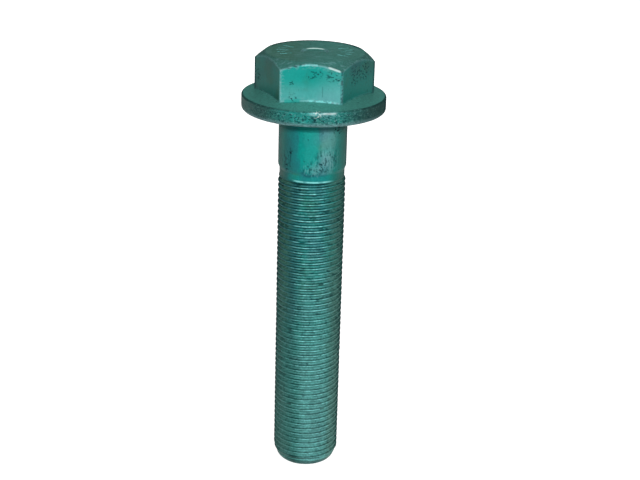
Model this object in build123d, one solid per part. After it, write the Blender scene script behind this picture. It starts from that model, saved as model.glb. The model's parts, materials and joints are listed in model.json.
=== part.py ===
from build123d import *
import os
from math import radians, sqrt, tan

# A flange bolt with a fine thread, M24 x 2, forged and turned from one piece of steel.
# Millimetres. The origin is the centre of the bearing face, the underside of the flange.
# +Z runs up through the head. The shank and the thread run down along -Z to the point.

# Shank
bolt_length = 135.0  # bearing face to the end of the point
shank_dia = 23.95
shank_length = 19.8  # bearing face to the start of the step
underhead_radius = 1.2  # fillet between the bearing face and the shank

# Relief between the shank and the thread
step_length = 1.2  # cone from the shank down to the neck
neck_dia = 22.9
neck_length = 1.8
runout_length = 0.75  # cone from the neck out to the first crest

# Thread, drawn as the plain cylinder over its crests
thread_dia = 23.9
point_dia = 20.6  # flat end of the point
point_length = 3.9

# Flange
flange_dia = 50.0
rim_height = 5.4
rim_lower_radius = 1.2
rim_bevel = 0.5  # breaks the rim's upper edge
flange_slope = 13.0  # degrees, from the rim up to the hexagon

# Hexagon
across_flats = 35.7
head_height = 20.2  # bearing face to the top
corner_radius = 0.5  # upright edges
root_radius = 0.8  # foot of the flats, on the flange
crown_dia = 33.8  # flat circle on the top
crown_slope = 38.0  # degrees, the chamfer round the top

# Dimple in the middle of the top, flat at the bottom
dimple_dia = 9.4  # at its rim
dimple_depth = 0.7
dimple_slope = 45.0  # degrees, its wall


def corner_at(profile, place):
    # The corner of a profile that lies at this (radius, height).
    return profile.vertices().sort_by_distance((0, *place))[0]


def turned_outline(*points):
    # The flat profile through these (radius, height) points, closed along the axis.
    return Plane.YZ * make_face(Polyline(*points, close=True))


def turned_blank():
    # All that is round about the axis: point, thread, neck, shank and flange.
    step_top = -shank_length
    step_foot = step_top - step_length
    neck_foot = step_foot - neck_length
    thread_top = neck_foot - runout_length
    flange_rise = flange_dia / 2 * tan(radians(flange_slope))
    underhead = (shank_dia / 2, 0)
    rim_foot = (flange_dia / 2, 0)
    rim_top = (flange_dia / 2, rim_height)
    profile = turned_outline(
        (0, -bolt_length),
        (point_dia / 2, -bolt_length),
        (thread_dia / 2, -bolt_length + point_length),
        (thread_dia / 2, thread_top),
        (neck_dia / 2, neck_foot),
        (neck_dia / 2, step_foot),
        (shank_dia / 2, step_top),
        underhead,
        rim_foot,
        rim_top,
        (0, rim_height + flange_rise),
    )
    profile = fillet(corner_at(profile, underhead), underhead_radius)
    profile = fillet(corner_at(profile, rim_foot), rim_lower_radius)
    profile = chamfer(corner_at(profile, rim_top), rim_bevel)
    return revolve(profile, Axis.Z)


def hexagon():
    # The wrench flats, one facing -Y, with the cone that chamfers them round the top.
    outline = RegularPolygon(across_flats / 2, side_count=6, major_radius=False)
    prism = Pos(0, 0, rim_height) * extrude(outline, head_height - rim_height)
    prism = fillet(prism.edges().filter_by(Axis.Z), corner_radius)
    reach = across_flats / sqrt(3) + corner_radius  # just past the corners
    drop = (reach - crown_dia / 2) * tan(radians(crown_slope))
    crown = turned_outline(
        (0, rim_height),
        (reach, rim_height),
        (reach, head_height - drop),
        (crown_dia / 2, head_height),
        (0, head_height),
    )
    return prism & revolve(crown, Axis.Z)


def dimple():
    # The shallow hollow that the heading die leaves, with a coned wall.
    floor_radius = dimple_dia / 2 - dimple_depth / tan(radians(dimple_slope))
    hollow = turned_outline(
        (0, head_height - dimple_depth),
        (floor_radius, head_height - dimple_depth),
        (dimple_dia / 2, head_height),
        (0, head_height),
    )
    return revolve(hollow, Axis.Z)


blank = turned_blank()
flats = hexagon()
bolt = blank + flats
bolt = fillet(new_edges(blank, flats, combined=bolt), root_radius)
bolt -= dimple()

os.makedirs("parts", exist_ok=True)
export_step(bolt, "parts/flange_bolt.step")
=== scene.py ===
import bmesh
import bpy
import json
from math import cos, hypot, pi, radians, sin, sqrt, tan
from mathutils import Matrix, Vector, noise
from types import SimpleNamespace


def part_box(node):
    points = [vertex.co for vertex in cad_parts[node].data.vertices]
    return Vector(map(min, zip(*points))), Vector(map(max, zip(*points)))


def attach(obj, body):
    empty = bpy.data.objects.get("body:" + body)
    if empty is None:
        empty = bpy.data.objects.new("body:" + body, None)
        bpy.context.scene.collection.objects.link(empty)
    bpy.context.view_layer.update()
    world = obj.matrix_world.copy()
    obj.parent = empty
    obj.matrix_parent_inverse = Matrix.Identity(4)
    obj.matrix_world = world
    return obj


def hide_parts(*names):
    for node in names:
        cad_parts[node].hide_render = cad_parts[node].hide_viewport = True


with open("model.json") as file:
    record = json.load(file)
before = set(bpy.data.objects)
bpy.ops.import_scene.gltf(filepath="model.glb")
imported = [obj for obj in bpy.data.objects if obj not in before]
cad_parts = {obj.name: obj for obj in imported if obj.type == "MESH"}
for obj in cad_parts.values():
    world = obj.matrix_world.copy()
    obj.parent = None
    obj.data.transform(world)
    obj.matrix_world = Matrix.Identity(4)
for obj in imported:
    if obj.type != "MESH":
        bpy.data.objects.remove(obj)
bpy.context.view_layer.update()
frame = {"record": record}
print("frame loaded")

mm = 0.001
boxLow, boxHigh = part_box("flange_bolt")
mounts = {mount["name"]: mount for mount in frame["record"]["mounts"]}
boltEnd, headTop = boxLow[2], boxHigh[2]
flangeRadius = (boxHigh[1] - boxLow[1]) / 2
shankRadius = mounts["shank"]["dims"]["r_mm"] * mm
crestRadius = mounts["thread"]["dims"]["r_mm"] * mm


def deselectAll():
    if bpy.context.mode != "OBJECT":
        bpy.ops.object.mode_set(mode="OBJECT")
    bpy.ops.object.select_all(action="DESELECT")


def makeActive(*pieces):
    deselectAll()
    for piece in pieces:
        piece.select_set(True)
    bpy.context.view_layer.objects.active = pieces[0]


def editAll(piece):
    makeActive(piece)
    bpy.ops.object.mode_set(mode="EDIT")
    bpy.ops.mesh.select_mode(type="VERT")
    bpy.ops.mesh.select_all(action="SELECT")


def leaveEdit():
    bpy.ops.object.mode_set(mode="OBJECT")


def applyModifiers(piece):
    makeActive(piece)
    for modifier in list(piece.modifiers):
        bpy.ops.object.modifier_apply(modifier=modifier.name)


def selectEdges(piece, wanted):
    # In edit mode, selects the edges that wanted(edge) says yes to.
    bpy.ops.mesh.select_mode(type="EDGE")
    bpy.ops.mesh.select_all(action="DESELECT")
    mesh = bmesh.from_edit_mesh(piece.data)
    for edge in mesh.edges:
        if wanted(edge):
            edge.select_set(True)
    mesh.select_flush_mode()
    bmesh.update_edit_mesh(piece.data)


def drawProfile(name, points):
    # A wire of (radius, height) points in the XZ plane, extruded point by point from one vertex.
    deselectAll()
    bpy.ops.mesh.primitive_plane_add(size=mm)
    piece = bpy.context.object
    piece.name = name
    editAll(piece)
    bpy.ops.mesh.merge(type="CENTER")
    radius, height = points[0]
    bpy.ops.transform.translate(value=(radius, 0, height))
    for nextRadius, nextHeight in points[1:]:
        step = (nextRadius - radius, 0, nextHeight - height)
        bpy.ops.mesh.extrude_vertices_move(TRANSFORM_OT_translate={"value": step})
        radius, height = nextRadius, nextHeight
    leaveEdit()
    return piece


def spinProfile(name, points, sides):
    # Turns a profile that starts and ends on the axis into a closed solid.
    piece = drawProfile(name, points)
    editAll(piece)
    bpy.ops.mesh.spin(steps=sides, angle=2 * pi, center=(0, 0, 0), axis=(0, 0, 1))
    bpy.ops.mesh.select_all(action="SELECT")
    bpy.ops.mesh.remove_doubles(threshold=0.002 * mm)
    bpy.ops.mesh.normals_make_consistent(inside=False)
    leaveEdit()
    return piece


def cutAt(piece, height, side):
    # Cuts a shell across at this height, and clears what lies above (1) or below (-1).
    editAll(piece)
    plane = {"plane_co": (0, 0, height), "plane_no": (0, 0, side)}
    bpy.ops.mesh.bisect(**plane, clear_outer=True, threshold=0.0001 * mm)
    leaveEdit()


def arc(centre, radius, start, end, steps):
    # Points along an arc in the profile plane, its angles in degrees.
    angles = [radians(start + (end - start) * i / steps) for i in range(steps + 1)]
    return [(centre[0] + radius * cos(a), centre[1] + radius * sin(a)) for a in angles]


def combine(piece, other, operation):
    # Joins, cuts or intersects two closed solids, and removes the second.
    modifier = piece.modifiers.new(operation.lower(), "BOOLEAN")
    modifier.operation = operation
    modifier.solver = "EXACT"
    modifier.object = other
    applyModifiers(piece)
    bpy.data.objects.remove(other, do_unlink=True)
    return piece


thread = {
    "pitch": 2 * mm,
    "depth": 1.227 * mm,  # crest to root
    "crestFlat": 0.34 * mm,
    "wornFlat": 0.204 * mm,  # what is left of the crest's flat between its worn edges
    "edgeDrop": 0.07 * mm,  # how far those edges fall and spread
    "edgeSpread": 0.0504 * mm,
    "rootRadius": 0.289 * mm,
    "sides": 120,
    "top": -23.0 * mm,  # where the first groove starts to sink into the neck
    "fade": 2.4 * mm,  # length over which it reaches full depth
    "neckRadius": 11.45 * mm,
    "pointRadius": 10.3 * mm,
    "pointLength": 3.9 * mm,
    "pointEdgeHeight": 0.8 * mm,  # the rounding of its lower edge
    "pointEdgeDrop": 0.28 * mm,
    "wear": 0.07 * mm,  # unevenness of the crests
    "wearSize": 1.1 * mm,
    "dent": 0.28 * mm,  # broader and rarer hollows in them
    "dentSize": 2.6 * mm,
    "wearReach": 0.6 * mm,  # how far below the crests it goes
    "nickDepth": 0.4 * mm,
    "nickReach": 1.3 * mm,
    # where the crests are knocked in: degrees round the axis, height in millimetres
    "nicks": [(-120, -110), (-57, -112), (-122, -80), (-66, -62), (-101, -45), (-20, -90),
              (40, -70), (100, -52), (150, -98), (200, -66)],
}


def threadProfile():
    # One pitch of the thread, root to root: 60 degrees, round root, flat crest with worn edges.
    rootCentre = (crestRadius - thread["depth"] + thread["rootRadius"], thread["pitch"] / 2)
    half = arc(rootCentre, thread["rootRadius"], 180, 240, 2)
    half += [(crestRadius - thread["edgeDrop"], thread["crestFlat"] / 2 + thread["edgeSpread"])]
    half += [(crestRadius, thread["wornFlat"] / 2)]
    lower = [(radius, -height) for radius, height in half]
    return lower + half[::-1]


def pointRadiusAt(height):
    # The radius of the turned point at this height above the bolt's end.
    slope = (crestRadius - thread["pointRadius"]) / thread["pointLength"]
    nearEdge = max(0, 1 - max(height, 0) / thread["pointEdgeHeight"])
    return thread["pointRadius"] + slope * height - thread["pointEdgeDrop"] * nearEdge ** 2


def crestWear(point, radius):
    # How far the crest is rubbed or knocked in at this point of the thread.
    nearCrest = min(max((radius - crestRadius) / thread["wearReach"] + 1, 0), 1)
    worn = thread["wear"] * (0.5 + 0.5 * noise.noise(point / thread["wearSize"]))
    worn += thread["dent"] * max(0, noise.noise(point / thread["dentSize"]) - 0.4)
    for degrees, height in thread["nicks"]:
        x, y = crestRadius * cos(radians(degrees)), crestRadius * sin(radians(degrees))
        gap = hypot(point.x - x, point.y - y, point.z - height * mm)
        worn += thread["nickDepth"] * max(0, 1 - gap / thread["nickReach"])
    return nearCrest * worn


def makeHelix():
    # The full thread, a few turns longer than the bolt's.
    start = boltEnd - 2 * thread["pitch"]
    turns = int((thread["top"] - start) / thread["pitch"]) + 3
    profile = [(radius, start + height) for radius, height in threadProfile()]
    piece = drawProfile("thread", profile)
    screw = piece.modifiers.new("screw", "SCREW")
    screw.axis = "Z"
    screw.angle = 2 * pi
    screw.screw_offset = thread["pitch"]
    screw.iterations = turns
    screw.steps = screw.render_steps = thread["sides"]
    screw.use_merge_vertices = False
    screw.use_normal_calculate = True
    applyModifiers(piece)
    editAll(piece)
    bpy.ops.mesh.remove_doubles(threshold=0.005 * mm)
    leaveEdit()
    return piece


def makeThread():
    # Wears the helix, fades it out into the neck, turns the point down and cuts it to length.
    piece = makeHelix()
    for vertex in piece.data.vertices:
        x, y, height = vertex.co
        radius = hypot(x, y)
        depth = min(max((thread["top"] - height) / thread["fade"], 0), 1)
        depth = depth * depth * (3 - 2 * depth)
        shaped = radius - crestWear(vertex.co, radius)
        shaped = thread["neckRadius"] + (shaped - thread["neckRadius"]) * depth
        shaped = min(shaped, pointRadiusAt(height - boltEnd))
        vertex.co.x, vertex.co.y = x * shaped / radius, y * shaped / radius
    cutAt(piece, boltEnd, -1)
    cutAt(piece, thread["top"] + 0.1 * mm, 1)
    editAll(piece)
    selectEdges(piece, lambda edge: edge.is_boundary and edge.verts[0].co.z < boltEnd + 0.01 * mm)
    bpy.ops.mesh.edge_face_add()
    bpy.ops.mesh.select_all(action="SELECT")
    bpy.ops.mesh.normals_make_consistent(inside=False)
    leaveEdit()
    return piece


threadPiece = makeThread()
print("thread", len(threadPiece.data.vertices), len(threadPiece.data.polygons))


body = {
    "sides": 120,
    "stepTop": -19.8 * mm,
    "stepFoot": -21.0 * mm,
    "stepEase": (0.03 * mm, 0.25 * mm),  # how far in and along the step's two edges are eased
    "foot": -22.6 * mm,  # where it is bridged to the thread
    # rings that split the two long plain faces
    "shankRing": -10 * mm,
    "coneRing": 15 * mm,
    "underheadRadius": 1.2 * mm,
    "rimHeight": 5.4 * mm,
    "rimLowerRadius": 1.2 * mm,
    "rimUpperRadius": 0.6 * mm,
    "slope": 13,  # degrees, of the flange's cone
}


def makeBody():
    # Neck, step, shank, fillet and flange, turned as one; the flange's cone runs on to the axis.
    neck, fillet = thread["neckRadius"], body["underheadRadius"]
    lower, upper, rim = body["rimLowerRadius"], body["rimUpperRadius"], body["rimHeight"]
    inward, along = body["stepEase"]
    points = [(0, body["foot"]), (neck, body["foot"]), (neck, body["stepFoot"] - along)]
    points += [(neck + inward, body["stepFoot"]), (shankRadius - inward, body["stepTop"])]
    points += [(shankRadius, body["stepTop"] + along), (shankRadius, body["shankRing"])]
    points += arc((shankRadius + fillet, -fillet), fillet, 180, 90, 6)
    points += arc((flangeRadius - lower, lower), lower, -90, 0, 6)
    points += arc((flangeRadius - upper, rim - upper), upper, 0, 77, 5)
    rise, ring = tan(radians(body["slope"])), body["coneRing"]
    coneTop = rim + flangeRadius * rise
    points += [(ring, coneTop - ring * rise), (0, coneTop)]
    return spinProfile("body", points, body["sides"])


hexagon = {
    "acrossFlats": 35.7 * mm,
    "foot": 3 * mm,  # sunk into the flange
    "spare": 2 * mm,  # by which the blocks that cut each other stand out
    "crownRadius": 16.9 * mm,
    "crownSlope": 38,  # degrees
    "crownRounding": 1.0 * mm,
    "dimpleRadius": 4.7 * mm,
    "dimpleDepth": 0.7 * mm,
    "dimpleRim": 0.4 * mm,  # roundings of the dimple's rim and floor; its wall slopes at 45 degrees
    "dimpleFloor": 0.5 * mm,
    # bevels in millimetres, as edge weights, and the heights that tell the crown's edges from the root's
    "cornerBevel": 0.5,
    "crownBevel": 0.3,
    "rootBevel": 0.8,
    "crownFrom": 15 * mm,
    "rootTo": 9 * mm,
}


def makeHexagon():
    # A plain block, taller than the head until makeCrown's block cuts it.
    deselectAll()
    corner = hexagon["acrossFlats"] / sqrt(3)
    depth = headTop + hexagon["spare"] - hexagon["foot"]
    bpy.ops.mesh.primitive_cylinder_add(
        vertices=6, radius=corner, depth=depth, rotation=(0, 0, radians(30)),
        location=(0, 0, hexagon["foot"] + depth / 2))
    piece = bpy.context.object
    piece.name = "hexagon"
    bpy.ops.object.transform_apply(location=True, rotation=True, scale=True)
    return piece


def makeCrown():
    # The cone round the top and the dimple in it, as a turned block to intersect with.
    reach = hexagon["acrossFlats"] / sqrt(3) + hexagon["spare"]
    slope, rounding = hexagon["crownSlope"], hexagon["crownRounding"]
    drop = (reach - hexagon["crownRadius"]) * tan(radians(slope))
    foot = hexagon["foot"] - hexagon["spare"] / 2
    points = [(0, foot), (reach, foot), (reach, headTop - drop)]
    flatRadius = hexagon["crownRadius"] - rounding * tan(radians(slope / 2))
    points += arc((flatRadius, headTop - rounding), rounding, 90 - slope, 90, 5)
    rim, floor, eighth = hexagon["dimpleRim"], hexagon["dimpleFloor"], tan(radians(22.5))
    wallTop, bottom = hexagon["dimpleRadius"], headTop - hexagon["dimpleDepth"]
    wallFoot = wallTop - hexagon["dimpleDepth"]
    points += arc((wallTop + rim * eighth, headTop - rim), rim, 90, 135, 4)
    points += arc((wallFoot - floor * eighth, bottom + floor), floor, -45, -90, 4)
    return spinProfile("crown", points + [(0, bottom)], body["sides"])


marks = {
    "perGroup": 5,  # long and short strokes in turn
    "step": radians(15),  # from one mark to the next, round the axis
    "outerRadius": 13.2 * mm,
    "long": 4.4 * mm,
    "short": 2.8 * mm,
    "width": 0.9 * mm,
    "depth": 0.22 * mm,
}


def makeMarks():
    # Two groups of plain radial strokes, left and right of the dimple, as one block to cut with.
    depth, half = marks["depth"], marks["width"] / 2
    radius = (half ** 2 + depth ** 2) / (2 * depth)
    strokes = []
    for group in (0, pi):
        for i in range(marks["perGroup"]):
            length = marks["short"] if i % 2 else marks["long"]
            turn = group + (i - (marks["perGroup"] - 1) / 2) * marks["step"]
            middle = marks["outerRadius"] - length / 2
            deselectAll()
            bpy.ops.mesh.primitive_cylinder_add(
                vertices=16, radius=radius, depth=length, rotation=(0, pi / 2, turn),
                location=(middle * cos(turn), middle * sin(turn), headTop - depth + radius))
            strokes.append(bpy.context.object)
    makeActive(*strokes)
    bpy.ops.object.join()
    bpy.ops.object.transform_apply(location=True, rotation=True, scale=True)
    return bpy.context.object


def between(edge, low, high):
    return all(low < vertex.co.z < high for vertex in edge.verts)


def isCorner(edge):
    a, b = (vertex.co for vertex in edge.verts)
    atCorner = abs(a.xy.length - hexagon["acrossFlats"] / sqrt(3)) < 0.05 * mm
    return atCorner and (a.xy - b.xy).length < 0.01 * mm and abs(a.z - b.z) > 2 * mm


def meetsFlat(edge, slope):
    # An edge between an upright flat and a face whose normal has this upward part.
    if len(edge.link_faces) != 2:
        return False
    a, b = sorted(face.normal.z for face in edge.link_faces)
    return abs(a) < 0.05 and abs(b - slope) < 0.05


def isCrownEdge(edge):
    slope = cos(radians(hexagon["crownSlope"]))
    return meetsFlat(edge, slope) and between(edge, hexagon["crownFrom"], headTop)


def isRoot(edge):
    slope = cos(radians(body["slope"]))
    return meetsFlat(edge, slope) and between(edge, body["rimHeight"], hexagon["rootTo"])


def makeHead():
    # The turned body with the hexagon on it, its edges bevelled by weight.
    block = combine(makeHexagon(), makeCrown(), "INTERSECT")
    block = combine(block, makeMarks(), "DIFFERENCE")
    piece = combine(makeBody(), block, "UNION")
    editAll(piece)
    bpy.ops.mesh.remove_doubles(threshold=0.001 * mm)
    for wanted, weight in [
        (isCorner, hexagon["cornerBevel"]),
        (isCrownEdge, hexagon["crownBevel"]),
        (isRoot, hexagon["rootBevel"]),
    ]:
        selectEdges(piece, wanted)
        bpy.ops.transform.edge_bevelweight(value=weight)
    leaveEdit()
    bevel = piece.modifiers.new("bevel", "BEVEL")
    bevel.limit_method = "WEIGHT"
    bevel.width = 1 * mm
    bevel.segments = 3
    applyModifiers(piece)
    return piece


def joinBolt(headPart, threadPart):
    # Opens the foot of the neck, joins the thread to it and bridges the two rings.
    editAll(headPart)
    mesh = bmesh.from_edit_mesh(headPart.data)
    bpy.ops.mesh.select_mode(type="FACE")
    bpy.ops.mesh.select_all(action="DESELECT")
    for face in mesh.faces:
        face.select_set(all(vertex.co.z < body["foot"] + 0.01 * mm for vertex in face.verts))
    bmesh.update_edit_mesh(headPart.data)
    bpy.ops.mesh.delete(type="FACE")
    leaveEdit()
    makeActive(headPart, threadPart)
    bpy.ops.object.join()
    editAll(headPart)
    selectEdges(headPart, lambda edge: edge.is_boundary)
    bpy.ops.mesh.bridge_edge_loops()
    bpy.ops.mesh.select_all(action="SELECT")
    bpy.ops.mesh.normals_make_consistent(inside=False)
    leaveEdit()
    headPart.name = "bolt"
    headPart.data.name = "bolt"
    return headPart


bolt = joinBolt(makeHead(), threadPiece)
bpy.ops.object.shade_smooth_by_angle(angle=radians(42))
even = bolt.modifiers.new("evenNormals", "WEIGHTED_NORMAL")
even.keep_sharp = True
applyModifiers(bolt)
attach(bolt, "root")
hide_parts("flange_bolt")
print("bolt joined", len(bolt.data.polygons))


class Wire:
    # Wraps a socket: arithmetic on it adds Math nodes, and node() adds a node of any other type.
    def __init__(self, tree, socket=None):
        self.tree = tree
        self.socket = socket

    def node(self, kind, settings=None, values=None, output=0):
        made = self.tree.nodes.new(kind)
        for name, setting in (settings or {}).items():
            setattr(made, name, setting)
        for name, value in (values or {}).items():
            if isinstance(value, Wire):
                self.tree.links.new(value.socket, made.inputs[name])
            else:
                made.inputs[name].default_value = value
        return Wire(self.tree, made.outputs[output])

    def parts(self):
        # The outputs of this socket's node, by name.
        return {socket.name: Wire(self.tree, socket) for socket in self.socket.node.outputs}

    def into(self, node, name):
        self.tree.links.new(self.socket, node.inputs[name])

    def math(self, operation, *values):
        return self.node("ShaderNodeMath", {"operation": operation}, dict(enumerate(values)))

    def vector(self, operation, *values, output=0):
        return self.node("ShaderNodeVectorMath", {"operation": operation}, dict(enumerate(values)), output)

    def __add__(self, other):
        return self.math("ADD", self, other)

    def __radd__(self, other):
        return self.math("ADD", other, self)

    def __sub__(self, other):
        return self.math("SUBTRACT", self, other)

    def __rsub__(self, other):
        return self.math("SUBTRACT", other, self)

    def __mul__(self, other):
        return self.math("MULTIPLY", self, other)

    def __rmul__(self, other):
        return self.math("MULTIPLY", other, self)

    def __truediv__(self, other):
        return self.math("DIVIDE", self, other)

    def __abs__(self):
        return self.math("ABSOLUTE", self)

    def most(self, *others):
        result = self
        for other in others:
            result = self.math("MAXIMUM", result, other)
        return result

    def least(self, *others):
        result = self
        for other in others:
            result = self.math("MINIMUM", result, other)
        return result

    def ramp(self, start, end):
        # 0 at start, 1 at end, smooth in between.
        values = {"Value": self, "From Min": start, "From Max": end}
        return self.node("ShaderNodeMapRange", {"interpolation_type": "SMOOTHSTEP"}, values)

    def band(self, low, high, soft):
        # 1 between low and high, fading out over soft on each side.
        return self.ramp(low - soft, low) * self.ramp(high + soft, high)

    def mix(self, below, above):
        # The colour below where this mask is 0, and above where it is 1.
        values = {0: self, 6: below, 7: above}
        return self.node("ShaderNodeMix", {"data_type": "RGBA"}, values, output=2)

    def noise(self, size, detail=2, stretch=(1, 1, 1), seed=0):
        # Noise about 0.5 on this vector; size is that of a blotch, in millimetres.
        scale = tuple(1 / (size * part) for part in stretch)
        moved = self.vector("MULTIPLY_ADD", self, scale, (seed, seed * 1.7, seed * 0.6))
        return self.node("ShaderNodeTexNoise", None, {"Vector": moved, "Scale": 1, "Detail": detail})

    def patch(self, centre, radius, soft=0.6):
        # A round patch, 1 inside and fading out to its radius in millimetres.
        gap = self.vector("DISTANCE", self, centre, output="Value")
        return gap.ramp(radius, radius * (1 - soft))


def colour(red, green, blue):
    return (red, green, blue, 1)


coating = {
    "clean": colour(0.006, 0.33, 0.29),
    # painted highlight down the middle of the shank's and lower thread's fronts; also the front flat's
    # lighter tone and a clean strip
    "light": colour(0.03, 0.42, 0.37),
    "blue": colour(0.02, 0.20, 0.225),  # colder blotches
    "green": colour(0.03, 0.22, 0.15),  # yellower blotches
    "film": colour(0.08, 0.28, 0.235),  # dull film on what faces up
    "olive": colour(0.09, 0.25, 0.175),
    # painted light on the front of the flange's top
    "litFlangeFront": colour(0.09, 0.42, 0.36),
    "grimeAndSideShade": colour(0.024, 0.108, 0.086),  # painted shade towards the two sides, on the side flats and on the thread's side crests; grime on the cone round the top
    "dustAndFill": colour(0.12, 0.28, 0.24),  # dust and painted fill light, on the sides and the lower part of the thread
    "dim": colour(0.014, 0.14, 0.165),  # left side of the thread
    "bareAndHighlight": colour(0.26, 0.79, 0.77),  # painted highlights on the thread, the front flat's edges and the strokes on the top, with bare wear
    # painted shade on the rim, deepest at its sides
    "rim": colour(0.035, 0.21, 0.185),
    "rimSideShade": colour(0.03, 0.09, 0.078),
    "greyed": colour(0.13, 0.25, 0.26),  # the rim's rubbed foot
    "haze": colour(0.18, 0.56, 0.57),  # paler and colder, low on the front flat and on the thread's lower left
    "pale": colour(0.24, 0.52, 0.53),  # rubbed edges and crests, painted sheen on the shank and thread, and painted fill light on the dimple's walls
    "chalk": colour(0.72, 0.86, 0.84),  # bare specks
    "glint": colour(0.7, 1, 0.94),  # the dimple's far wall
    "flankShade": colour(0.006, 0.05, 0.045),  # painted shade beside the crests
    # dark scuffs, and the painted shade and shadow from darkLines
    "scuffAndShade": colour(0.004, 0.045, 0.05),
    "tint": colour(0.18, 0.42, 0.42),  # of the reflections
    "specular": 0.2,
    "metallic": 0.12,
    "roughness": 0.42,
    "relief": 0.03 * mm,
    # dark scuffs: centres and radii in millimetres
    "scuffs": [
        ((0, -17.9, 16), 2), ((2.4, -17.9, 16.4), 1.8), ((6.6, -17.9, 15.6), 2.3), ((8.6, -17.9, 15.4), 1.5),
        ((-6, -17.9, 8.3), 1.8), ((-6.4, -17.9, 13), 1.2), ((14, -11, 15), 4.5), ((17, -6, 15.6), 4.5),
        ((4, -11.5, -18), 2.6), ((-7, -9.6, -13), 1.4), ((9, -7.5, -5), 3), ((-8, -8.8, -19), 2.2),
        ((5, 17.9, 14), 4), ((-17, -2, 12), 4), ((-8, 9, -12), 5)],
    "scrapes": [((5.8, -10.5, -15.5), 6.3), ((0.5, -12, -19), 4.6)],
    "darkScrape": ((-9, -8, -16), 4),
    # rubbed places: centre, radius and strength
    "rubs": [
        ((6.2, -10.5, -8), 7, 0.2), ((-4, 11.5, -14), 6, 0.25), ((-6, 18, 10), 8, 0.35),
        ((5.5, -11, -15), 4, 0.3), ((2, -12, -18.6), 3, 0.4)],
}

# what the coating's masks measure from, in millimetres as they do
flatDistance = hexagon["acrossFlats"] / 2 / mm
topHeight = headTop / mm
rimRadius = flangeRadius / mm
threadTop = thread["top"] / mm
stepFoot = body["stepFoot"] / mm


def readPlace(tree):
    # Where a point lies: its place and distances in millimetres, and the way that it faces.
    coords = Wire(tree).node("ShaderNodeTexCoord").parts()
    at = SimpleNamespace()
    at.place = coords["Object"].vector("MULTIPLY", coords["Object"], (1 / mm, 1 / mm, 1 / mm))
    at.x, at.y, at.z = at.place.node("ShaderNodeSeparateXYZ", None, {0: at.place}).parts().values()
    at.upward = at.place.node("ShaderNodeSeparateXYZ", None, {0: coords["Normal"]}, output="Z")
    squared = at.x * at.x + at.y * at.y
    at.fromAxis = squared.math("SQRT", squared)
    at.depth = crestRadius / mm - at.fromAxis  # below the thread's crests
    at.sideways = abs(at.x) / at.fromAxis  # 0 in front and behind, 1 at the two sides
    at.front = (-1 * at.y / at.fromAxis).ramp(0.1, 0.95)
    return at


def addPatterns(at):
    # Noises about 0.5, from small grain to large blotches.
    at.grain = at.place.noise(0.55, 2, stretch=(1.3, 1.3, 0.8), seed=5)
    at.fine = at.place.noise(0.7, 3)
    at.speck = at.place.noise(0.85, 3, stretch=(1.2, 1.2, 0.8), seed=3)
    at.dash = at.place.noise(1, 3, stretch=(2.2, 2.2, 0.45), seed=6)
    at.streak = at.place.noise(0.9, 2, stretch=(1, 1, 7), seed=2)
    at.blotch = at.place.noise(3.2, 3, seed=4)
    at.cloud = at.place.noise(11, 2, seed=9)
    at.warped = at.x + 2 * (at.streak - 0.5) + 3 * (at.blotch - 0.5)  # for bands with ragged edges


def addFlats(at):
    # The hexagon's flats: distances from the edges of the nearest one, and masks.
    turn = at.y.math("ARCTAN2", at.y, at.x) + pi / 2
    sector = turn.math("PINGPONG", turn, radians(30))
    outward = at.fromAxis * sector.math("COSINE", sector)
    along = at.fromAxis * sector.math("SINE", sector)
    crownDrop = (at.fromAxis - hexagon["crownRadius"] / mm) * tan(radians(hexagon["crownSlope"]))
    coneRise = (rimRadius - at.fromAxis) * tan(radians(body["slope"]))
    at.pastFlat = outward - flatDistance
    at.cornerGap = flatDistance / sqrt(3) - along
    at.archGap = topHeight - crownDrop - at.z
    at.footGap = at.z - (body["rimHeight"] / mm + coneRise)
    at.edgeGap = at.cornerGap.least(at.archGap, at.footGap)
    at.flat = abs(at.pastFlat).ramp(0.4, 0.15) * at.footGap.ramp(-0.3, 0.3)
    at.inFront = at.y.ramp(0.85 - flatDistance, 0.25 - flatDistance)
    at.frontFlat = at.flat * at.inFront
    onSide = abs(at.y).ramp(flatDistance - 0.25, flatDistance - 0.85)
    # the side flats, weighted for their painted shade, which is weaker on the right; their dullness uses it
    # too
    at.sideFlat = at.flat * onSide * (0.78 - 0.12 * at.x.ramp(0, 10))
    # the stretches of the front flat's foot and arch that are worn and carry a painted highlight
    arch = at.archGap.ramp(1, 0.5) * (at.x.band(-3, 1.5, 1) + at.x.band(6, 9, 0.7))
    at.edgeWear = (at.footGap.ramp(1, 0.5) * at.x.ramp(-4, 0)).most(arch)


def addParts(at):
    # Masks of the bolt's parts, 1 on the part.
    at.nearTop = at.z.ramp(topHeight - 1.2, topHeight - 0.9)
    at.top = at.upward.ramp(0.7, 0.95) * at.nearTop
    at.crown = at.upward.band(0.72, 0.86, 0.06) * at.z.ramp(topHeight - 4.2, topHeight - 2.7)
    at.rim = at.fromAxis.ramp(rimRadius - 0.8, rimRadius - 0.3)
    at.rimRight = at.rim * at.x.ramp(12, 18)
    at.roughRim = at.rim * (0.3 + 0.7 * at.front)
    at.shank = at.z.ramp(stepFoot, stepFoot + 1) * at.fromAxis.ramp(14, 12.5) * at.z.ramp(1, 0)
    at.lowShank = at.z.ramp(stepFoot - 1.5, stepFoot) * at.z.ramp(-8, -11)
    at.thread = at.z.ramp(threadTop - 0.2, threadTop - 1.2)
    at.threadSides = at.thread * at.sideways.ramp(0.4, 0.8)
    at.left = (at.x + 3 * (at.blotch - 0.5)).ramp(-1.5, -5.5)
    at.lower = at.z.ramp(-30, -115)  # towards the foot of the thread
    at.up = at.upward.ramp(0.4, 0.9) * (1 - at.thread)


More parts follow.
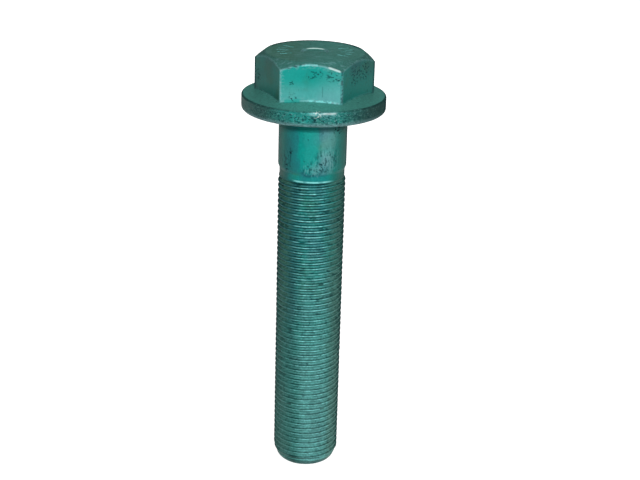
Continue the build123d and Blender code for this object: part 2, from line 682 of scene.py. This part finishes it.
def ownColour(at):
    # The coating itself, with colder and yellower blotches; painted shade darkens it towards the two sides,
    # and a painted highlight lightens the middle of the shank's and lower thread's fronts.
    base = at.cloud.ramp(0.45, 0.7).mix(coating["clean"], coating["blue"])
    base = (at.place.noise(8, 2, seed=14).ramp(0.55, 0.72) * 0.7).mix(base, coating["green"])
    base = (at.warped.band(-8.2, -5, 1.6) * at.shank * at.front * 0.7).mix(base, coating["blue"])
    # painted shade: darker towards the two sides and on the side flats, mottled by cloud noise
    grimeAndSideShade = (at.sideways.ramp(0.35, 0.95) * (1 - at.flat) + at.sideFlat) * (0.65 + 0.5 * at.cloud)
    base = (grimeAndSideShade * (1 - 0.15 * at.shank)).mix(base, coating["grimeAndSideShade"])
    aboveThread = at.z.band(threadTop + 0.1, threadTop + 1.4, 0.7) * at.warped.band(-6, 5, 2.5) * at.front
    base = (aboveThread * (0.1 + 0.7 * at.blotch)).mix(base, coating["clean"])
    # painted highlight: lighter bands down the middle of the shank's front and the lower thread's front
    base = (at.warped.band(-1.5, 1.8, 1.5) * at.shank * at.front * 0.4).mix(base, coating["light"])
    base = (at.warped.band(-1, 5, 3) * at.lower * at.thread * at.front * 0.35).mix(base, coating["light"])
    return (at.frontFlat * (0.2 + 0.2 * at.x.ramp(0, -8))).mix(base, coating["light"])


def dustAndFillThread(base, at):
    # The thread is dim on the left, and paler with dust and painted fill light at its sides and towards its
    # foot.
    base = (at.thread * at.left * (0.3 + 0.65 * at.z.ramp(-95, -60))).mix(base, coating["dim"])
    haze = at.thread * at.left * at.z.ramp(-60, -95) * at.sideways.ramp(0.9, 0.6) * 0.09
    base = haze.mix(base, coating["haze"])
    dustAndFill = at.sideways.ramp(0.3, 0.9) * (0.3 + 0.6 * at.cloud) * at.z.ramp(-30, -70)
    dustAndFill = dustAndFill.most(at.lower * (0.35 + 0.5 * at.cloud), at.lower * at.x.ramp(6, 9.5))
    return (at.thread * dustAndFill).mix(base, coating["dustAndFill"])


def addFilm(base, at):
    # Dull film on what faces up, and painted light in a clearer teal on the front of the flange's top.
    base = (at.up * 0.9).mix(base, coating["film"])
    base = (at.top * at.x.ramp(0, -9) * 0.5).mix(base, coating["olive"])
    flangeLight = at.up * at.z.ramp(13, 12) * (0.4 + 0.35 * at.place.patch((0, -22, 6), 14, 0.9))
    return flangeLight.mix(base, coating["litFlangeFront"])


def colourRim(base, at):
    # Painted shade makes the rim darker than the rest, most of all at its sides, and its foot is rubbed grey.
    base = (at.rim * (0.5 + 0.4 * at.sideways)).mix(base, coating["rim"])
    sideShade = at.sideways.ramp(0.25, 0.85) + 0.2 * at.x.band(-15, -8, 3)
    base = (at.rim * sideShade * (1 - 0.27 * at.x.ramp(-17, -21))).mix(base, coating["rimSideShade"])
    base = (at.rimRight * 0.14).mix(base, coating["scuffAndShade"])
    return (at.rim * at.z.ramp(2, 0.8) * (0.3 + 0.5 * at.front)).mix(base, coating["greyed"])


def colourCrown(base, at):
    # The cone round the top is a little paler, with grimy dashes.
    base = (at.crown * 0.15).mix(base, coating["pale"])
    return (at.crown * (0.15 + 0.5 * at.dash)).mix(base, coating["grimeAndSideShade"])


def threadShadeAndFill(base, at):
    # Painted shade in dark lines beside the crests; at the two sides, painted shade on the crests and painted
    # fill light in the grooves.
    lines = at.upward.ramp(0.45, 0.2).most(at.depth.ramp(0.65, 0.55)) * at.depth.ramp(0.07, 0.17)
    lines = lines * at.thread * (0.9 - 0.1 * at.lower) * (1 - 0.45 * at.blotch.ramp(0.4, 0.65))
    lines = lines * (1 - (0.75 - 0.35 * at.x.ramp(0, 6)) * at.sideways.ramp(0.4, 0.8))
    base = lines.mix(base, coating["flankShade"])
    upperSides = at.threadSides * at.z.ramp(-100, -45)
    crests = at.depth.ramp(0.45, 0.2) * (0.12 + 0.26 * at.x.ramp(4, -4))
    base = (upperSides * crests).mix(base, coating["grimeAndSideShade"])
    grooves = at.depth.ramp(0.2, 0.55) * (0.75 - 0.3 * at.x.ramp(-4, 4))
    # painted fill light in the grooves at the two sides, olive on the left
    grooveFill = at.x.ramp(-2, 2).mix(coating["olive"], coating["dustAndFill"])
    return (upperSides * grooves).mix(base, grooveFill)


def hazeFront(base, at):
    # The front flat paler and colder towards its foot, and a little towards its right.
    film = (0.45 * at.z.ramp(15, 8) + 0.08 * at.x.ramp(0, 8)) * at.frontFlat * (0.6 + 0.8 * at.blotch)
    return film.mix(base, coating["haze"])


def rubbedAndSheenPlaces(at):
    # Where the coating is rubbed pale: edges of the flats, the rim, soft patches and scratches; and painted
    # sheen in pale bands on the shank's and lower thread's fronts.
    edges = 0.2 + at.frontFlat * (0.4 + 0.5 * at.edgeWear) * (1 - at.x.ramp(9.2, 9.6))
    edges = edges * at.edgeGap.ramp(0.7, 0.15) * at.flat
    rubbed = edges * at.place.noise(1.6, 3, seed=21).ramp(0.34, 0.52)
    rubbed = rubbed + at.edgeGap.ramp(2, 0.2) * at.frontFlat * at.speck.ramp(0.5, 0.62) * 0.35
    rubbed = rubbed + at.place.patch((8, -17.9, 9.5), 10, 0.9) * at.frontFlat * 0.2
    rubbed = rubbed + at.rim * at.z.band(4.3, 5.2, 0.3) * at.x.band(1, 8, 2) * at.front * 0.5
    rimGrain = at.grain.ramp(0.54, 0.62) * (0.25 + 0.15 * at.x.ramp(0, 4))
    rubbed = rubbed + at.rim * (1 - at.sideways * at.sideways) * rimGrain
    for centre, radius, strength in coating["rubs"]:
        rubbed = rubbed + strength * at.place.patch(centre, radius, 0.9) * (0.5 + at.blotch)
    # painted sheen: pale bands right of the middle of the shank's front and on the lower thread's front
    rubbed = rubbed + at.warped.band(4.2, 7, 2) * at.shank * at.front * 0.22
    rubbed = rubbed + at.warped.band(0, 6, 3.5) * at.lower * at.thread * at.front * 0.2
    scratches = at.place.noise(1.3, 3, stretch=(2.6, 0.6, 1), seed=12).ramp(0.56, 0.64)
    rubbed = rubbed + scratches * at.up * at.z.ramp(17, 18) * 0.35
    return rubbed.least(1)


def threadHighlights(at):
    # Painted highlights on the crests, on what faces up between them and on the first turn, strongest in the
    # middle of the front.
    woven = at.place.noise(1.5, 3, stretch=(1.4, 1.4, 0.8), seed=8)
    # the middle of the front, where the painted highlights sit, drifting right towards the foot
    middle = (at.x - 2.5 * at.lower).band(-3.5, 3.5, 5)
    crests = at.thread * at.depth.ramp(0.15, 0.07) * (0.3 + 0.7 * woven.ramp(0.38, 0.62))
    crests = crests * (0.15 + 0.85 * middle) * at.front * (1 - 0.25 * at.lower)
    crests = crests * (1 - 0.35 * at.left * at.z.ramp(-85, -65))
    flanks = at.thread * at.depth.ramp(0.55, 0.65) * at.upward.ramp(0.25, 0.5) * middle
    flanks = flanks * (0.05 + 0.4 * woven) * (0.6 + 0.4 * at.x.ramp(-7, 0)) * (1 + 0.2 * at.lower)
    firstTurn = at.z.band(threadTop - 0.5, threadTop - 0.15, 0.2) * at.x.band(-4, 5.5, 3) * at.front
    return crests + flanks + firstTurn * (0.35 + 0.6 * at.blotch.ramp(0.3, 0.5))


def headWearAndHighlights(at):
    # Wear and a painted highlight on the front flat's edges and foot, and painted highlights in the strokes
    # on the top.
    patchy = at.place.noise(1.3, 3, seed=23).ramp(0.4, 0.55) * at.frontFlat
    edges = at.edgeGap.ramp(0.55, 0.2) * at.edgeWear * at.x.ramp(9.7, 9.2) * 0.8
    foot = at.footGap.ramp(0.95, 0.55) * at.x.band(0, 9.3, 1.5) * 0.5
    strokes = (topHeight - 0.03 - at.z).ramp(0, 0.12) * at.fromAxis.band(8.4, 13.4, 0.3) * at.nearTop
    return edges * patchy + foot * patchy + strokes * (0.45 + 0.6 * at.speck.ramp(0.4, 0.6))


def cleanFoot(at):
    # A clean strip along the left of the front flat's foot.
    strip = at.footGap.ramp(1, 0.6) * at.pastFlat.ramp(0.9, 0.5) * at.inFront
    return strip * at.x.band(-8.4, -4, 0.8) * 0.85


def mottle(base, at):
    # Lighter and darker grain over the whole, stronger on the rim and the thread's sides.
    shade = 1 + (0.56 - 0.3 * at.frontFlat + 0.8 * at.thread + 0.4 * at.up) * (at.fine - 0.5)
    shade = shade + 1.3 * at.threadSides * (at.speck - 0.45)
    shade = shade * (1 + 0.08 * (at.top * (2 * at.x.ramp(-9, 9) - 1) + at.thread * at.x.ramp(5.5, 9)))
    upperLeft = at.thread * at.z.ramp(-95, -50) * at.x.ramp(6, 2)
    shade = shade * (1 - 0.06 * upperLeft - 0.04 * at.shank * at.x.band(-6, 3, 2))
    rimGrain = 0.23 + 1.3 * (at.dash - 0.5) + 1.8 * (at.speck - 0.5)
    shade = shade * (1 - 0.15 * at.rim + at.roughRim * rimGrain)
    settings = {"data_type": "RGBA", "blend_type": "MULTIPLY"}
    return shade.node("ShaderNodeMix", settings, {0: 1, 6: base, 7: shade}, output=2)


def scrapeShank(base, at):
    # Scraped places low on the shank, pale and dark together.
    scrape = at.place.noise(0.7, 3, stretch=(1, 1, 2.2), seed=31)
    first, second = (at.place.patch(centre, radius, 0.6) for centre, radius in coating["scrapes"])
    places = first.most(second) * at.lowShank
    base = (scrape.ramp(0.46, 0.38) * places * 0.3).mix(base, coating["pale"])
    places = places.most(at.place.patch(*coating["darkScrape"], 0.6) * at.lowShank)
    return (scrape.ramp(0.53, 0.60) * places * 0.65).mix(base, coating["scuffAndShade"])


def darkLines(at):
    # Thin dark lines along edges, painted shade along the far left and right of the round parts and at the
    # head's side corners, a painted shadow under the flange, and two single scratches.
    corner = at.frontFlat * at.x.ramp(9.5, 10) * (0.35 + 0.65 * at.speck.ramp(0.45, 0.55)) * 0.7
    arch = at.frontFlat * at.archGap.ramp(0.8, 0.2) * at.dash.ramp(0.52, 0.6) * at.x.band(-8, -3, 1) * 0.8
    farEdge = at.top * at.y.ramp(2, 9) * at.fromAxis.ramp(15, 16) * at.speck.ramp(0.32, 0.46) * 0.85
    rimEdge = at.rim * at.z.band(5, 5.3, 0.2) * (1 - at.x.band(0, 9, 1.5)) * (0.1 + 0.35 * at.cloud)
    # painted shadow of the flange across the top of the shank
    flangeShadow = at.shank * at.z.ramp(-5.6, -5.1) * 0.3
    # painted shade along the far left and right sides and the head's side corners
    sides = at.sideways.ramp(0.955, 0.985) * (1 - at.up) * (1 - at.flat) * 0.6
    cornerOutlineShade = at.flat * at.cornerGap.ramp(1.6, 0.7) * abs(at.x).ramp(15, 16) * 0.6
    scratches = 0.6 * at.z.band(9, 12, 0.6) * at.x.band(3.7, 3.9, 0.15) * at.frontFlat
    scratches = scratches + at.z.band(-16, -12, 0.8) * at.x.band(-7.1, -6.8, 0.2) * at.front
    return corner.most(arch, farEdge, rimEdge, flangeShadow, sides, cornerOutlineShade, scratches * 0.5)


def scuffsAndShade(at):
    # Ragged dark scuffs, small ones all over and stains between the crests, together with the painted shade
    # and shadow of darkLines.
    rimBand = at.rim * at.z.band(1.5, 4, 1) * at.front * 0.8
    scuffed = rimBand.most(*(at.place.patch(centre, radius, 0.5) for centre, radius in coating["scuffs"]))
    ragged = (at.speck + at.frontFlat * (at.grain - at.speck)).ramp(0.53, 0.60)
    scuffs = ragged * scuffed * (1 - 0.25 * at.flat) + 0.5 * at.place.noise(1.6, 3, seed=6).ramp(0.67, 0.72)
    stains = at.place.noise(2.2, 3, stretch=(1.3, 1.3, 0.8), seed=17).ramp(0.56, 0.66)
    scuffs = scuffs + stains * at.thread * at.depth.ramp(0.05, 0.15) * (0.65 - 0.35 * at.lower)
    return scuffs.most(darkLines(at))


def bareSpecks(at):
    # Bare specks near the rim's upper edge and along the front flat's arch.
    spot = at.place.patch((2.6, -24.9, 4.8), 2, 0.8) * at.grain.ramp(0.5, 0.57)
    edge = at.rim * at.z.band(4.7, 5, 0.15) * at.x.band(5, 8.2, 1) * (0.3 + 0.7 * at.dash)
    arch = at.frontFlat * at.archGap.ramp(0.6, 0.25) * at.x.band(6, 9.2, 0.7) * 0.7
    return spot.most(edge, arch)


def colourDimple(base, at):
    # Painted fill light makes the dimple's wall a little paler at its sides, and a painted highlight puts a
    # bright crescent at the back.
    wallFill = at.fromAxis.band(4, 4.7, 0.2) * at.nearTop * at.y.ramp(3.4, 2.4) * 0.45
    base = wallFill.mix(base, coating["pale"])
    crescent = at.fromAxis.band(4.42, 4.58, 0.12) * at.nearTop * at.y.ramp(2.7, 4.3)
    return crescent.mix(base, coating["glint"])


def makeCoating():
    material = bpy.data.materials.new("tealCoating")
    material.use_nodes = True
    tree = material.node_tree
    shader = tree.nodes["Principled BSDF"]
    at = readPlace(tree)
    addPatterns(at)
    addFlats(at)
    addParts(at)

    base = ownColour(at)
    for layer in (dustAndFillThread, addFilm, colourRim, colourCrown, threadShadeAndFill, hazeFront):
        base = layer(base, at)
    base = rubbedAndSheenPlaces(at).mix(base, coating["pale"])
    base = (threadHighlights(at) + headWearAndHighlights(at)).least(1).mix(base, coating["bareAndHighlight"])
    base = cleanFoot(at).mix(base, coating["light"])
    base = scrapeShank(mottle(base, at), at)
    # scuffs also carries painted shade and the flange's painted shadow
    scuffs = scuffsAndShade(at)
    base = scuffs.least(1).mix(base, coating["scuffAndShade"])
    base = bareSpecks(at).mix(base, coating["chalk"])
    colourDimple(base, at).into(shader, "Base Color")

    dull = at.sideways.ramp(0.8, 0.97) * (1 - at.up) * (1 - at.flat)
    rough = coating["roughness"] + 0.25 * (at.fine - 0.5) + 0.2 * scuffs + 0.2 * at.up
    rough = rough + 0.15 * dull.most(0.8 * at.sideFlat) + 0.25 * at.rimRight
    rough.into(shader, "Roughness")
    height = at.fine + 1.5 * at.blotch + 0.8 * at.streak - 1.5 * scuffs + 3 * at.roughRim * at.dash
    values = {"Height": height, "Distance": coating["relief"], "Strength": 1}
    height.node("ShaderNodeBump", None, values).into(shader, "Normal")
    shader.inputs["Metallic"].default_value = coating["metallic"]
    shader.inputs["Specular IOR Level"].default_value = coating["specular"]
    shader.inputs["Specular Tint"].default_value = coating["tint"]
    return material


bolt.data.materials.clear()
bolt.data.materials.append(makeCoating())
print("coating made")


stage = {
    "floorSize": 6,
    "floorColour": 0.45,
    "floorWhite": 0.93,  # what the floor adds for the camera, so that it looks white
    "ambient": 0.16,
    "camera": (24.5 * mm, -440.4 * mm, 120.2 * mm),
    "yaw": 2.73,  # degrees; the tilt is down from the horizontal
    "tilt": 20.952,
    "roll": 1.6,
    "lens": 74.02,
}


def makeFloor():
    deselectAll()
    bpy.ops.mesh.primitive_plane_add(size=stage["floorSize"], location=(0, 0, boltEnd))
    floor = bpy.context.object
    floor.name = "floor"
    material = bpy.data.materials.new("floorWhite")
    material.use_nodes = True
    shader = material.node_tree.nodes["Principled BSDF"]
    grey = stage["floorColour"]
    shader.inputs["Base Color"].default_value = (grey, grey, grey, 1)
    shader.inputs["Roughness"].default_value = 1
    shader.inputs["Specular IOR Level"].default_value = 0
    shader.inputs["Emission Color"].default_value = (1, 1, 1, 1)
    rays = Wire(material.node_tree).node("ShaderNodeLightPath").parts()
    seen = (rays["Is Camera Ray"] + rays["Is Glossy Ray"] + rays["Is Transmission Ray"]).ramp(0, 1)
    (seen * stage["floorWhite"]).into(shader, "Emission Strength")
    floor.data.materials.append(material)


def makeCamera():
    deselectAll()
    bpy.ops.object.camera_add()
    camera = bpy.context.object
    yaw, tilt, roll = (radians(stage[key]) for key in ("yaw", "tilt", "roll"))
    camera.matrix_world = (
        Matrix.Translation(stage["camera"]) @ Matrix.Rotation(yaw, 4, "Z")
        @ Matrix.Rotation(pi / 2 - tilt, 4, "X") @ Matrix.Rotation(roll, 4, "Z"))
    camera.data.lens = stage["lens"]
    camera.data.clip_start = 0.01
    bpy.context.scene.camera = camera


lamps = {
    "aim": -40 * mm,  # height at which they look
    # degrees round from the front, degrees up, distance, size and watts
    "frontLamp": (8, 24, 0.9, 0.08, 5.2),
    "backLamp": (180, 20, 0.9, 0.4, 4.0),
}


def addLamp(name):
    # A square soft box that looks at the bolt.
    azimuth, elevation, distance, size, power = lamps[name]
    deselectAll()
    bpy.ops.object.light_add(type="AREA")
    lamp = bpy.context.object
    lamp.name = name
    lamp.data.size = size
    lamp.data.energy = power
    turn = Matrix.Rotation(radians(azimuth), 4, "Z") @ Matrix.Rotation(radians(90 - elevation), 4, "X")
    lamp.matrix_world = Matrix.Translation((0, 0, lamps["aim"])) @ turn @ Matrix.Translation((0, 0, distance))
    return lamp


def makeLights():
    addLamp("frontLamp")
    addLamp("backLamp").visible_glossy = False
    world = bpy.data.worlds.new("studio")
    bpy.context.scene.world = world
    world.use_nodes = True
    background = world.node_tree.nodes["Background"]
    background.inputs["Color"].default_value = (1, 1, 1, 1)
    background.inputs["Strength"].default_value = stage["ambient"]


makeFloor()
makeLights()
makeCamera()
bpy.context.scene.view_settings.view_transform = "Standard"
print("stage set")
